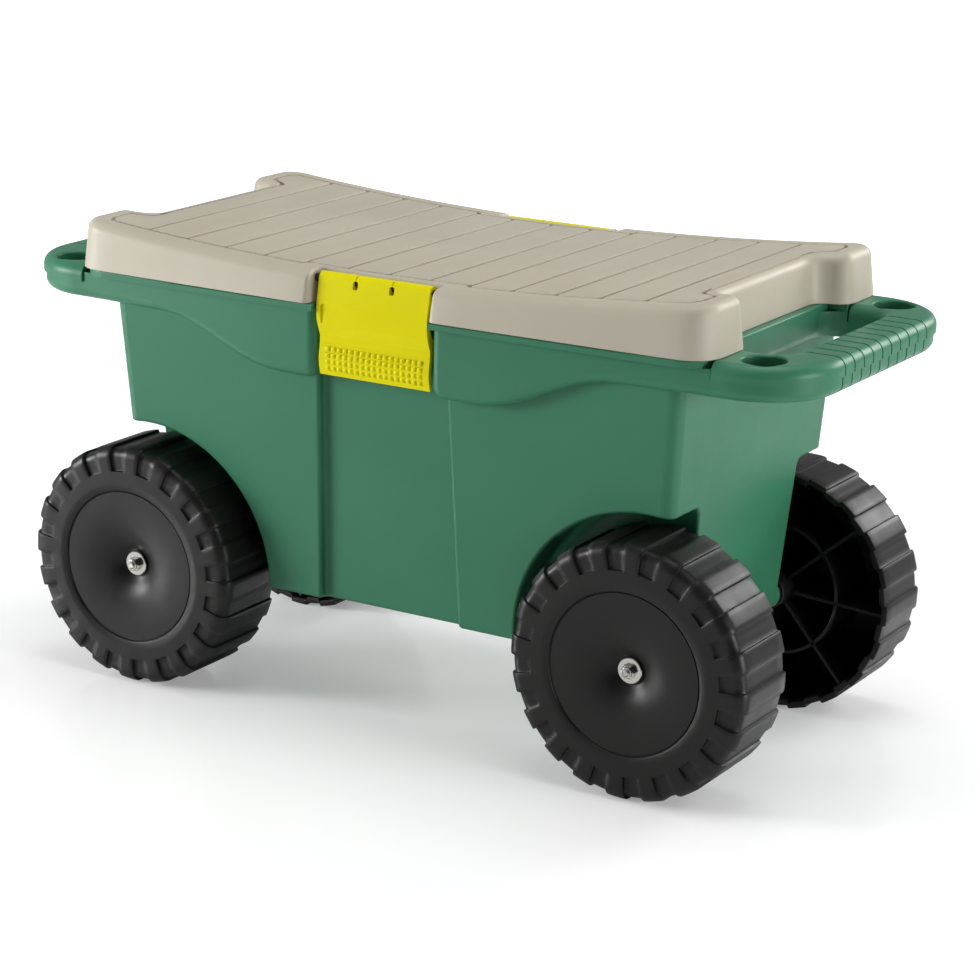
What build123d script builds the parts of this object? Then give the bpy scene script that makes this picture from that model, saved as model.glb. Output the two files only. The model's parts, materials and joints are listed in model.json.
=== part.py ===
"""Rolling garden tool cart with a seat lid.

A moulded tub stands on four broad wheels. Its rim runs out at both ends into carrying handles, each closed by
its own cover with two tool holes. A dished seat lid sits on the rim and is held by a latch on each long side.

Frame: millimetres, X along the cart, Y across it, Z up. The origin is on the ground at the centre, and the
front latch is on the -Y side.
"""

import os

from build123d import *

# ---------------------------------------------------------------- driving dimensions
WHEEL_R = 79.0
WHEEL_OUTER_Y = 123.5
WHEEL_INNER_Y = 70.5
AXLE_X = 182.0
AXLE_Z = WHEEL_R
AXLE_R = 4.0
THREAD_R = 2.5
RUNNING_FIT = 0.06

WALL = 3.0
TUB_BOTTOM = 73.8
TUB_LENGTH_0 = 186.5  # half length of the tub at z = 0, and its growth per mm of height
TUB_LENGTH_RISE = 0.07
TUB_WIDTH_0 = 90.8
TUB_WIDTH_RISE = 0.055
TUB_CORNER_R = 8.0
WELL_R = 90.5
WELL_WALL_0 = 48.1  # half width between the wheel wells at z = 0
WELL_WALL_RISE = 0.102
PANEL_HALF_TOP = 45.0  # sunken panel under each latch, wider towards the bottom
PANEL_HALF_BOTTOM = 51.0
PANEL_DEPTH = 5.5

RIM_TOP = 268.6
BAND_TOP = 264.0
BAND_HALF_WIDTH = 114.5  # in the middle; the long sides are bowed
BAND_END = 224.2
BAND_LOW = 221.0  # lower edge of the rim band beside the latch, and at the corners
BAND_HIGH = 247.0
BAND_CORNER_R = 8.0
RIM_EDGE_R = 6.0
WAVE_START = 68.0
WAVE_END = 168.0
LIP_HALF_WIDTH = 118.0
LIP_HALF_WIDTH_END = 115.5
LIP_END = 224.0
LATCH_GAP_HALF = 41.5  # half length of the gap for the latch in the rim
RIM_AT_LATCH = 104.0
KEEPER_HALF = 37.0  # bar under the rim that each latch reaches behind
KEEPER_BOTTOM = 257.0
KEEPER_HALF_WIDTH = 105.5
UPSTAND_TOP = 275.0
UPSTAND_HALF_WIDTH = 105.4
UPSTAND_FROM = 50.0
UPSTAND_TO = 190.0
AXLE_BOSS_R = 9.0
AXLE_BOSS_END = 62.0

HANDLE_HALF_WIDTH = 109.0
HANDLE_END = 281.0
HANDLE_CORNER_R = 48.0
HANDLE_SEAM = 258.0
HAND_OPENING_START = 211.0
HAND_OPENING_END = 252.0
HAND_OPENING_HALF = 70.0
HAND_OPENING_R = 14.0
COVER_START = 225.2
COVER_PROUD = 1.5
COVER_TOP = 268.6
COVER_EDGE_R = 7.0
COLLAR_WALL = 1.8
SOCKET_X = 247.0
SOCKET_Y = 87.9
SOCKET_R = 13.0
GRIP_COUNT = 10  # shallow grooves round each grip bar
GRIP_PITCH = 12.5
GRIP_WIDTH = 1.4
GRIP_DEPTH = 0.5

LID_BOTTOM = 269.0
LID_END = 226.5
LID_HALF_WIDTH = 121.0
LID_HALF_WIDTH_END = 118.0
LID_CORNER_R = 20.0
LID_RECESS_X = 206.0
LID_RECESS_HALF = 62.0
LID_GAP_HALF = 43.0
LID_AT_LATCH = 104.0
LID_DRAFT = 6.5
SEAT_MIDDLE_Z = 290.5
SEAT_CURVE_R = 2260.0
LID_WALL = 3.0
LID_EDGE_R = 5.0
LID_BLOCK_HEIGHT = 40.0
RECESS_CORNER_R = 12.0
GAP_CORNER_R = 7.0
PLANK_PITCH = 29.0
PLANK_GROOVE = 2.4
PLANK_HEIGHT = 1.3
PLANK_COUNT = 14
PANEL_HALF_WIDTH = 100.0
PLANK_STEP_X = 6.0
PLANK_STEP_Y = 4.5
RIB_BOTTOM = 277.0
RIB_THICKNESS = 2.0

LATCH_HALF = 39.6
LATCH_PIVOT_Y = 107.8
LATCH_PIVOT_Z = 283.2
LATCH_PIN_R = 2.5
LATCH_BARREL_R = 4.6
LATCH_BOTTOM = 224.5
LATCH_SLOT_X = 13.0
LATCH_SLOT_Z = 282.2
LATCH_SLOT_WIDTH = 3.6
LATCH_SLOT_HEIGHT = 5.0
SLIT_WIDTH = 0.8  # runs from each slot over the top of the barrel
LATCH_PIN_HALF = 45.5
NIB_Y = 105.9  # inner face of the latch's nib, just clear of the keeper bar
FIELD_HALF = 37.0
FIELD_LOW = 253.5
FIELD_HIGH = 269.0
FIELD_Y = 114.0

HUB_R = 9.0
HUB_OUTER_Y = 113.2
HUB_INNER_Y = 64.0
HUB_TUBE_R = 11.0
DISH_R = 50.0
TYRE_EDGE_R = 8.0
TYRE_WALL = 4.0
SPOKE_COUNT = 8
SPOKE_THICKNESS = 2.0
SPOKE_INNER_Y = 73.0
SPOKE_RING_R = 42.5
SPOKE_START = 4.0  # degrees
GROOVE_COUNT = 20
GROOVE_ANGLE = 9.0
GROOVE_DEPTH = 1.9
GROOVE_START = -8.5  # degrees
POCKET_R = 63.0

AXLE_SHOULDER_Y = 113.6
AXLE_END_Y = 120.5
WASHER_THICKNESS = 1.5
NUT_FLATS = 8.0
NUT_HEIGHT = 2.8
NUT_COLLAR = 1.4


# ---------------------------------------------------------------- shared helpers
def at_four_corners(piece):
    """The piece as made, and its mirror images at the other three corners."""
    pair = [piece, mirror(piece, about=Plane.XZ)]
    return pair + [mirror(each, about=Plane.YZ) for each in pair]


def tub_size(z, inset=0.0):
    """Length and width of the tub's leaning walls at height z."""
    half_length = TUB_LENGTH_0 + TUB_LENGTH_RISE * z - inset
    half_width = TUB_WIDTH_0 + TUB_WIDTH_RISE * z - inset
    return 2 * half_length, 2 * half_width


def leaning_box(z_low, z_high, inset):
    """The tub's outline between two heights, moved inward by inset."""
    with BuildPart() as box:
        with BuildSketch(Plane.XY.offset(z_low)):
            RectangleRounded(*tub_size(z_low, inset), TUB_CORNER_R - inset)
        with BuildSketch(Plane.XY.offset(z_high)):
            RectangleRounded(*tub_size(z_high, inset), TUB_CORNER_R - inset)
        loft()
    return box.part


def wheel_well(growth):
    """Drum-shaped room for the front right wheel. Its inner side is a leaning wall."""
    wall_y = WELL_WALL_0 - growth
    with BuildPart() as well:
        with BuildSketch(Plane.XZ.offset(wall_y - 10)):
            with Locations((AXLE_X, AXLE_Z)):
                Circle(WELL_R + growth)
        extrude(amount=110)
        split(bisect_by=Plane(origin=(0, -wall_y, 0), x_dir=(1, 0, 0), z_dir=(0, -1, -WELL_WALL_RISE)))
        fillet(well.faces().sort_by(Axis.Y)[-1].edges(), 5)
    return well.part


def sunken_panel(growth, depth, top):
    """Cutter for the shallow full-height panel in the tub's front wall."""
    with BuildPart() as panel:
        with BuildSketch(Plane.XZ.offset(80)):
            Polygon(
                (-PANEL_HALF_TOP - growth, top),
                (-PANEL_HALF_BOTTOM - growth, TUB_BOTTOM - 10),
                (PANEL_HALF_BOTTOM + growth, TUB_BOTTOM - 10),
                (PANEL_HALF_TOP + growth, top),
                align=None,
            )
        extrude(amount=40)
        face_y = TUB_WIDTH_0 - depth
        split(bisect_by=Plane(origin=(0, -face_y, 0), x_dir=(1, 0, 0), z_dir=(0, -1, -TUB_WIDTH_RISE)))
    return panel.part


def bowed_plan(end, half_width_end, half_width_middle, corner_r):
    """Rounded rectangle with its long sides bowed outward."""
    with BuildSketch() as plan:
        with BuildLine():
            Line((end, -half_width_end), (end, half_width_end))
            ThreePointArc((end, half_width_end), (0, half_width_middle), (-end, half_width_end))
            Line((-end, half_width_end), (-end, -half_width_end))
            ThreePointArc((-end, -half_width_end), (0, -half_width_middle), (end, -half_width_end))
        make_face()
        if corner_r:
            fillet(plan.vertices(), corner_r)
    return plan.sketch


def handle_plan(half_width, end, corner_r, x_from, inset=0.0):
    """Plan of both handles beyond x_from: a rounded rectangle less the two hand openings."""
    opening_length = HAND_OPENING_END - HAND_OPENING_START + 2 * inset
    with BuildSketch() as plan:
        RectangleRounded(2 * (end - inset), 2 * (half_width - inset), corner_r - inset)
        Rectangle(2 * (x_from + inset), 2 * half_width, mode=Mode.SUBTRACT)
        opening_x = (HAND_OPENING_START + HAND_OPENING_END) / 2
        with Locations((opening_x, 0), (-opening_x, 0)):
            RectangleRounded(
                opening_length, 2 * (HAND_OPENING_HALF + inset), HAND_OPENING_R + inset, mode=Mode.SUBTRACT
            )
    return plan.sketch


def grip_grooves(z_low, z_high, core_low, core_high, core_r, end):
    """Cutters for the grooves round the right grip bar between two heights. The core is what they leave."""
    middle_x = (HAND_OPENING_END + end) / 2
    width = end - HAND_OPENING_END
    with BuildPart() as cutter:
        with BuildSketch(Plane.XZ.offset(-GRIP_WIDTH / 2)):
            with Locations((middle_x, (z_low + z_high) / 2)):
                Rectangle(width + 4, z_high - z_low)
            with Locations((middle_x, (core_low + core_high) / 2)):
                RectangleRounded(width - 2 * GRIP_DEPTH, core_high - core_low, core_r, mode=Mode.SUBTRACT)
        extrude(amount=GRIP_WIDTH)
    places = [GRIP_PITCH * (index - (GRIP_COUNT - 1) / 2) for index in range(GRIP_COUNT)]
    return [cutter.part.moved(Location((0, place, 0))) for place in places]


# ---------------------------------------------------------------- tub
with BuildPart() as bin_space:
    add(leaning_box(TUB_BOTTOM + WALL, UPSTAND_TOP + 5, WALL))
    for each in at_four_corners(wheel_well(WALL)):
        add(each, mode=Mode.SUBTRACT)
    inner_panel = sunken_panel(WALL, PANEL_DEPTH + WALL, RIM_TOP - 15)
    add(inner_panel, mode=Mode.SUBTRACT)
    add(mirror(inner_panel, about=Plane.XZ), mode=Mode.SUBTRACT)

with BuildPart() as tub_shell:
    add(leaning_box(TUB_BOTTOM, BAND_TOP, 0))
    outer_panel = sunken_panel(0, PANEL_DEPTH, BAND_TOP - 8)
    add(outer_panel, mode=Mode.SUBTRACT)
    add(mirror(outer_panel, about=Plane.XZ), mode=Mode.SUBTRACT)
    for each in at_four_corners(wheel_well(0)):
        add(each, mode=Mode.SUBTRACT)

    def is_panel_side(edge):
        """True on the upright edges at both sides of a sunken panel."""
        on_side = PANEL_HALF_TOP - 1 < abs(edge.center().X) < PANEL_HALF_BOTTOM + 1
        return on_side and edge.length > BAND_LOW - TUB_BOTTOM

    def is_arch_edge(edge):
        """True where a wheel well breaks out through the side and end walls."""
        box = edge.bounding_box()
        middle = edge.center()
        on_wall = abs(middle.Y) > WELL_WALL_0 + 32 or abs(middle.X) > AXLE_X + 10
        in_well_height = TUB_BOTTOM - 1 < box.min.Z and 100 < box.max.Z < AXLE_Z + WELL_R + 1
        return on_wall and in_well_height and box.max.Z - box.min.Z > 0.5

    fillet(tub_shell.edges().filter_by(is_panel_side), 2.4)
    fillet(tub_shell.faces().sort_by(Axis.Z)[0].edges(), 3)
    fillet(tub_shell.edges().filter_by(is_arch_edge), 2)

with BuildPart() as rim:
    # bowed band with a wavy lower edge, broken by the two latch gaps
    with BuildSketch(Plane.XZ.offset(-BAND_HALF_WIDTH)):
        with BuildLine():
            corner_start = (LATCH_GAP_HALF, BAND_LOW + BAND_CORNER_R)
            corner_end = (LATCH_GAP_HALF + BAND_CORNER_R, BAND_LOW)
            Line((LATCH_GAP_HALF, BAND_TOP), corner_start)
            RadiusArc(corner_start, corner_end, -BAND_CORNER_R)
            Line(corner_end, (WAVE_START, BAND_LOW))
            Spline((WAVE_START, BAND_LOW), (WAVE_END, BAND_HIGH), tangents=((1, 0), (1, 0)))
            Line((WAVE_END, BAND_HIGH), (BAND_END, BAND_HIGH))
            Line((BAND_END, BAND_HIGH), (BAND_END, BAND_TOP))
            Line((BAND_END, BAND_TOP), (LATCH_GAP_HALF, BAND_TOP))
        make_face()
        mirror(about=Plane.YZ)
    extrude(amount=2 * BAND_HALF_WIDTH)
    with BuildSketch(Plane.XY.offset(BAND_LOW)):
        add(bowed_plan(BAND_END, HANDLE_HALF_WIDTH, BAND_HALF_WIDTH, 0))
    extrude(amount=BAND_TOP - BAND_LOW, mode=Mode.INTERSECT)
    # lower halves of the handles
    with BuildSketch(Plane.XY.offset(BAND_HIGH)):
        add(handle_plan(HANDLE_HALF_WIDTH, HANDLE_END, HANDLE_CORNER_R, HAND_OPENING_START - 6))
    extrude(amount=HANDLE_SEAM - BAND_HIGH)
    with BuildSketch(Plane.XY.offset(BAND_LOW)):
        opening_x = (HAND_OPENING_START + HAND_OPENING_END) / 2
        with Locations((opening_x, 0), (-opening_x, 0)):
            RectangleRounded(
                HAND_OPENING_END - HAND_OPENING_START, 2 * HAND_OPENING_HALF, HAND_OPENING_R
            )
    extrude(amount=60, mode=Mode.SUBTRACT)

    def is_outer_lower_edge(edge):
        """True on the lower outer edge of the band and the handles, and on the band's ends at the latch."""
        middle = edge.center()
        outside = abs(middle.Y) > HANDLE_HALF_WIDTH - 30 or abs(middle.X) > HAND_OPENING_END + 10
        low = edge.bounding_box().max.Z < BAND_HIGH + 0.1
        at_gap = abs(abs(middle.X) - LATCH_GAP_HALF) < 0.1
        return outside and (low or at_gap)

    fillet(rim.edges().filter_by(is_outer_lower_edge), RIM_EDGE_R)
    bar_low_edges = rim.edges().filter_by_position(Axis.Z, BAND_HIGH - 0.1, BAND_HIGH + 0.1).filter_by(Axis.Y)
    fillet(bar_low_edges.filter_by(lambda e: abs(abs(e.center().X) - HAND_OPENING_END) < 0.1), RIM_EDGE_R)

with BuildPart() as lip:
    with BuildSketch(Plane.XY.offset(BAND_TOP)):
        add(bowed_plan(LIP_END, LIP_HALF_WIDTH_END, LIP_HALF_WIDTH, LID_CORNER_R))
        with Locations((LIP_END, 0), (-LIP_END, 0)):
            Rectangle(2 * (LIP_END - HAND_OPENING_START), 2 * HAND_OPENING_HALF, mode=Mode.SUBTRACT)
        with Locations((0, LIP_HALF_WIDTH), (0, -LIP_HALF_WIDTH)):
            Rectangle(2 * LATCH_GAP_HALF, 2 * (LIP_HALF_WIDTH - RIM_AT_LATCH), mode=Mode.SUBTRACT)
    extrude(amount=RIM_TOP - BAND_TOP)
    fillet(lip.faces().sort_by(Axis.Z)[-1].outer_wire().edges(), 1.2)

with BuildPart() as tub:
    add(tub_shell.part)
    add(rim.part)
    add(lip.part)
    # ribs that locate the lid
    upstand_middle = (UPSTAND_FROM + UPSTAND_TO) / 2
    with BuildSketch(Plane.XY.offset(BAND_TOP)):
        with Locations((upstand_middle, 0), (-upstand_middle, 0)):
            Rectangle(UPSTAND_TO - UPSTAND_FROM, 2 * UPSTAND_HALF_WIDTH)
    extrude(amount=UPSTAND_TOP - BAND_TOP)
    # bars that the latches reach behind
    with BuildSketch(Plane.XY.offset(KEEPER_BOTTOM)):
        Rectangle(2 * KEEPER_HALF, 2 * KEEPER_HALF_WIDTH)
    extrude(amount=BAND_TOP - KEEPER_BOTTOM)
    add(bin_space.part, mode=Mode.SUBTRACT)
    # hollow of the handles, which the covers close
    with BuildSketch(Plane.XY.offset(BAND_HIGH + WALL)):
        add(handle_plan(HANDLE_HALF_WIDTH, HANDLE_END, HANDLE_CORNER_R, HAND_OPENING_START - 6, WALL))
    extrude(amount=BAND_TOP - BAND_HIGH - WALL, mode=Mode.SUBTRACT)
    lower_core = (BAND_HIGH + GRIP_DEPTH, BAND_TOP + 10, RIM_EDGE_R - GRIP_DEPTH)
    for each in grip_grooves(BAND_HIGH - 1, HANDLE_SEAM, *lower_core, HANDLE_END):
        add(each, mode=Mode.SUBTRACT)
        add(mirror(each, about=Plane.YZ), mode=Mode.SUBTRACT)
    # axle tunnels across the narrow part between the wheels
    with BuildSketch(Plane.XZ.offset(-AXLE_BOSS_END)):
        with Locations((AXLE_X, AXLE_Z), (-AXLE_X, AXLE_Z)):
            Circle(AXLE_BOSS_R)
    extrude(amount=2 * AXLE_BOSS_END)
    with BuildSketch(Plane.XZ.offset(-AXLE_BOSS_END)):
        with Locations((AXLE_X, AXLE_Z), (-AXLE_X, AXLE_Z)):
            Circle(AXLE_R)
    extrude(amount=2 * AXLE_BOSS_END, mode=Mode.SUBTRACT)


# ---------------------------------------------------------------- handle covers
def handle_cover():
    """Upper shell of the right handle, with two collared tool holes and a rounded bar."""
    with BuildPart() as cover:
        outer_width = HANDLE_HALF_WIDTH + COVER_PROUD
        outer_end = HANDLE_END + COVER_PROUD
        corner_r = HANDLE_CORNER_R + COVER_PROUD
        with BuildSketch(Plane.XY.offset(HANDLE_SEAM)):
            add(handle_plan(outer_width, outer_end, corner_r, COVER_START))
            with Locations((-outer_end / 2, 0)):
                Rectangle(outer_end, 2 * outer_width, mode=Mode.SUBTRACT)
        extrude(amount=COVER_TOP - HANDLE_SEAM)
        top_edges = cover.faces().sort_by(Axis.Z)[-1].edges()
        fillet(top_edges.filter_by(lambda e: e.center().X > COVER_START + 0.1), COVER_EDGE_R)
        with BuildSketch(Plane.XY.offset(HANDLE_SEAM)):
            add(handle_plan(outer_width, outer_end, corner_r, COVER_START, WALL))
            with Locations((-outer_end / 2, 0)):
                Rectangle(outer_end, 2 * outer_width, mode=Mode.SUBTRACT)
        extrude(amount=COVER_TOP - HANDLE_SEAM - WALL, mode=Mode.SUBTRACT)
        with BuildSketch(Plane.XY.offset(BAND_HIGH + WALL)):
            with Locations((SOCKET_X, SOCKET_Y), (SOCKET_X, -SOCKET_Y)):
                Circle(SOCKET_R + COLLAR_WALL)
        extrude(amount=COVER_TOP - BAND_HIGH - 2 * WALL)
        with BuildSketch(Plane.XY.offset(BAND_HIGH + WALL)):
            with Locations((SOCKET_X, SOCKET_Y), (SOCKET_X, -SOCKET_Y)):
                Circle(SOCKET_R)
        extrude(amount=COVER_TOP - BAND_HIGH, mode=Mode.SUBTRACT)
        rims = cover.edges().filter_by(GeomType.CIRCLE).filter_by_position(Axis.Z, COVER_TOP - 0.1, COVER_TOP + 0.1)
        fillet(rims.filter_by(lambda e: abs(e.radius - SOCKET_R) < 0.01), 1.5)
        upper_core = (BAND_HIGH - 10, COVER_TOP - GRIP_DEPTH, COVER_EDGE_R - GRIP_DEPTH)
        for each in grip_grooves(HANDLE_SEAM, COVER_TOP + 1, *upper_core, outer_end):
            add(each, mode=Mode.SUBTRACT)
    return cover.part


# ---------------------------------------------------------------- lid
def lid_block(inset, top_drop):
    """The lid's outer block moved inward by inset, with its dished top lowered by top_drop."""
    with BuildPart() as block:
        with BuildSketch(Plane.XY.offset(LID_BOTTOM)) as plan:
            add(bowed_plan(LID_END, LID_HALF_WIDTH_END, LID_HALF_WIDTH, LID_CORNER_R))
            with BuildSketch(mode=Mode.PRIVATE) as recess:
                mouth = LID_END + 4
                Polygon(
                    (LID_RECESS_X, -LID_RECESS_HALF),
                    (mouth, -LID_RECESS_HALF - 6),
                    (mouth, LID_RECESS_HALF + 6),
                    (LID_RECESS_X, LID_RECESS_HALF),
                    align=None,
                )
            add(recess.sketch, mode=Mode.SUBTRACT)
            add(mirror(recess.sketch, about=Plane.YZ), mode=Mode.SUBTRACT)
            with Locations((0, LID_HALF_WIDTH), (0, -LID_HALF_WIDTH)):
                Rectangle(2 * LID_GAP_HALF, 2 * (LID_HALF_WIDTH - LID_AT_LATCH), mode=Mode.SUBTRACT)
            recess_corners = plan.vertices().filter_by(
                lambda v: abs(v.X) > LID_RECESS_X - 0.1 and abs(v.Y) < LID_RECESS_HALF + 7
            )
            fillet(recess_corners, RECESS_CORNER_R)
            gap_mouth = plan.vertices().filter_by(
                lambda v: abs(v.X) < LID_GAP_HALF + 0.1 and abs(v.Y) > LID_AT_LATCH + 1
            )
            fillet(gap_mouth, GAP_CORNER_R)
            if inset:
                offset(amount=-inset)
        extrude(amount=LID_BLOCK_HEIGHT, taper=LID_DRAFT)
        with BuildSketch(Plane.XZ.offset(-LID_HALF_WIDTH - 10)):
            with Locations((0, SEAT_MIDDLE_Z + SEAT_CURVE_R)):
                Circle(SEAT_CURVE_R + top_drop)
        extrude(amount=2 * LID_HALF_WIDTH + 20, mode=Mode.SUBTRACT)
    return block.part


with BuildPart() as planks:
    seat_plan = (PLANK_COUNT * PLANK_PITCH, 2 * PANEL_HALF_WIDTH)
    with BuildSketch(Plane.XY.offset(SEAT_MIDDLE_Z - LID_EDGE_R)):
        with GridLocations(PLANK_PITCH, 0, PLANK_COUNT, 1):
            Rectangle(PLANK_PITCH - PLANK_GROOVE, 2 * PANEL_HALF_WIDTH)
        # the end planks step back from the recesses, and the middle ones from the latches
        with Locations((seat_plan[0] / 2, 0), (-seat_plan[0] / 2, 0)):
            Rectangle(2 * PLANK_STEP_X, 2 * (LID_RECESS_HALF + 10), mode=Mode.SUBTRACT)
        with Locations((0, PANEL_HALF_WIDTH), (0, -PANEL_HALF_WIDTH)):
            Rectangle(4 * PLANK_PITCH, 2 * PLANK_STEP_Y, mode=Mode.SUBTRACT)
    extrude(amount=20)
    with BuildSketch(Plane.XZ.offset(-PANEL_HALF_WIDTH)):
        with Locations((0, SEAT_MIDDLE_Z + SEAT_CURVE_R)):
            Circle(SEAT_CURVE_R)
    extrude(amount=2 * PANEL_HALF_WIDTH, mode=Mode.SUBTRACT)

with BuildPart() as lid:
    add(lid_block(0, PLANK_HEIGHT))
    top_face = lid.faces().filter_by(GeomType.CYLINDER).sort_by(Axis.Z)[-1]
    fillet(top_face.outer_wire().edges(), LID_EDGE_R)
    add(planks.part)
    add(lid_block(LID_WALL, PLANK_HEIGHT + LID_WALL), mode=Mode.SUBTRACT)
    # cross ribs under the seat, above the tub's upstands
    with BuildSketch(Plane.XY.offset(RIB_BOTTOM)):
        with GridLocations(2 * PLANK_PITCH, 0, PLANK_COUNT // 2, 1):
            Rectangle(RIB_THICKNESS, 2 * (LID_AT_LATCH - LID_WALL))
    extrude(until=Until.NEXT)
    # holes for the latch pins, in the sides of the two gaps
    with BuildSketch(Plane.YZ.offset(-LATCH_PIN_HALF)):
        with Locations((LATCH_PIVOT_Y, LATCH_PIVOT_Z), (-LATCH_PIVOT_Y, LATCH_PIVOT_Z)):
            Circle(LATCH_PIN_R)
    extrude(amount=2 * LATCH_PIN_HALF, mode=Mode.SUBTRACT)


# ---------------------------------------------------------------- latch and its pin
def latch_piece():
    """Front latch: a bowed plate hung from a barrel, with a slotted top and a flared grip."""
    bottom = LATCH_BOTTOM
    barrel_top = (-LATCH_PIVOT_Y, LATCH_PIVOT_Z + LATCH_BARREL_R)
    barrel_back = (-LATCH_PIVOT_Y + LATCH_BARREL_R, LATCH_PIVOT_Z)
    barrel_low = (-LATCH_PIVOT_Y, LATCH_PIVOT_Z - LATCH_BARREL_R)
    face_points = [barrel_top, (-112.8, 281.0), (-114.8, 270.0), (-114.9, 260.0), (-111.4, 249.0)]
    grip_points = [(-111.4, 245.0), (-112.7, 235.0), (-111.0, bottom)]
    grip_back_points = [(-109.2, bottom), (-109.9, 235.0), (-108.2, 246.0)]
    upper_back_points = [(-109.0, 256.5), (-111.8, 264.0), (-111.6, 272.0), barrel_low]
    with BuildPart() as latch:
        with BuildSketch(Plane.YZ.offset(-LATCH_HALF)):
            with BuildLine():
                Spline(*face_points, tangents=((-1, 0), (0.35, -1)))
                Line(face_points[-1], grip_points[0])
                Spline(*grip_points, tangents=((-0.1, -1), (0.3, -1)))
                Line(grip_points[-1], grip_back_points[0])
                Spline(*grip_back_points, tangents=((-0.3, 1), (0.1, 1)))
                Line(grip_back_points[-1], (-107.9, 251.0))
                Line((-107.9, 251.0), (-NIB_Y, 252.0))
                Line((-NIB_Y, 252.0), (-NIB_Y, 254.0))
                Line((-NIB_Y, 254.0), upper_back_points[0])
                Spline(*upper_back_points, tangents=((-0.5, 1), (1, 0.4)))
                ThreePointArc(barrel_low, barrel_back, barrel_top)
            make_face()
        extrude(amount=2 * LATCH_HALF)
        # shallow sunken field across the middle
        with BuildSketch(Plane.XZ.offset(FIELD_Y)):
            with Locations((0, (FIELD_LOW + FIELD_HIGH) / 2)):
                RectangleRounded(2 * FIELD_HALF, FIELD_HIGH - FIELD_LOW, 2)
        extrude(amount=10, mode=Mode.SUBTRACT)
        # two slots that show the pin
        with BuildSketch(Plane.XZ.offset(LATCH_PIVOT_Y - 1)):
            with Locations((-LATCH_SLOT_X, LATCH_SLOT_Z), (LATCH_SLOT_X, LATCH_SLOT_Z)):
                RectangleRounded(LATCH_SLOT_WIDTH, LATCH_SLOT_HEIGHT, 1)
        extrude(amount=20, mode=Mode.SUBTRACT)
        # shallow slit from each slot over the top of the barrel
        for slot_x in (-LATCH_SLOT_X, LATCH_SLOT_X):
            with BuildSketch(Plane.YZ.offset(slot_x - SLIT_WIDTH / 2)):
                with Locations((-LATCH_PIVOT_Y, LATCH_PIVOT_Z)):
                    Circle(LATCH_BARREL_R + 2)
                    Circle(LATCH_BARREL_R - SLIT_WIDTH, mode=Mode.SUBTRACT)
                with Locations((-LATCH_PIVOT_Y - 2.5, LATCH_PIVOT_Z + 4)):
                    Rectangle(11, 8, mode=Mode.INTERSECT)
            extrude(amount=SLIT_WIDTH, mode=Mode.SUBTRACT)
        with BuildSketch(Plane.YZ.offset(-LATCH_HALF)):
            with Locations((-LATCH_PIVOT_Y, LATCH_PIVOT_Z)):
                Circle(LATCH_PIN_R + RUNNING_FIT)
        extrude(amount=2 * LATCH_HALF, mode=Mode.SUBTRACT)
    return latch.part


with BuildPart() as latch_pin:
    with BuildSketch(Plane.YZ.offset(-LATCH_PIN_HALF)):
        with Locations((-LATCH_PIVOT_Y, LATCH_PIVOT_Z)):
            Circle(LATCH_PIN_R)
    extrude(amount=2 * LATCH_PIN_HALF)
    chamfer(latch_pin.edges().filter_by(GeomType.CIRCLE), 0.4)


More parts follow.
